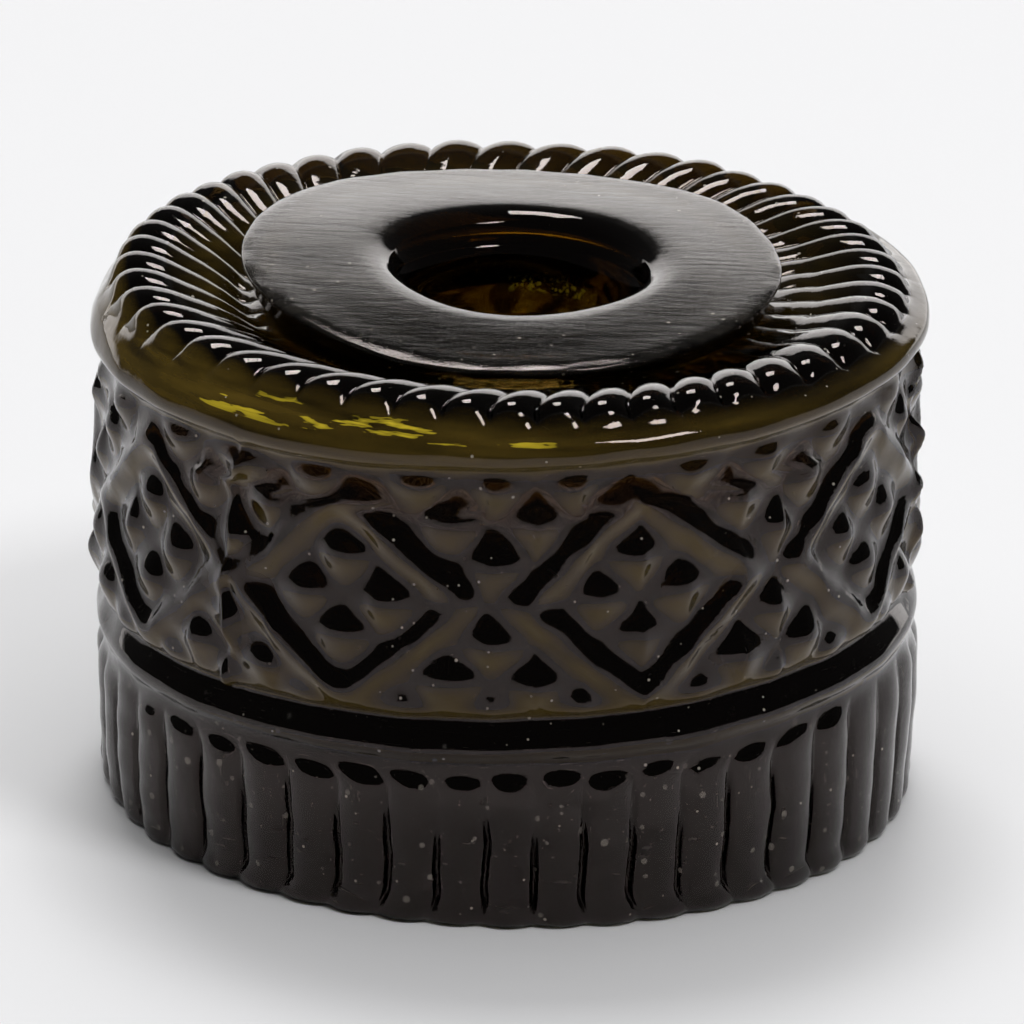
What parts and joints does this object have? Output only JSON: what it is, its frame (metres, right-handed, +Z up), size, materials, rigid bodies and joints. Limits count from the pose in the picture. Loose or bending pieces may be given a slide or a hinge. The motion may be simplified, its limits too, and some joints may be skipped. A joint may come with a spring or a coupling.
{
  "type": "glass inkwell",
  "caption": "Low round mould-blown glass inkwell with a diamond band, a ribbed foot, a swirled rope-like rim and a flat disc mouth over a hollow well.",
  "frame": {"origin": "middle of the base, on the surface it stands on", "axes": "+Z up along the well's axis, -Y towards the front"},
  "size_m": [0.058, 0.058, 0.0384],
  "materials": {
    "body_glass": "glossy dark olive-amber glass",
    "disc_glass": "dark olive-amber glass, worn to a satin face",
    "pontil_glass": "rough broken dark glass"
  },
  "bodies": {
    "root": {"glass_body": "body_glass", "mouth_disc": "disc_glass", "pontil_ring": "pontil_glass"}
  },
  "joints": []
}
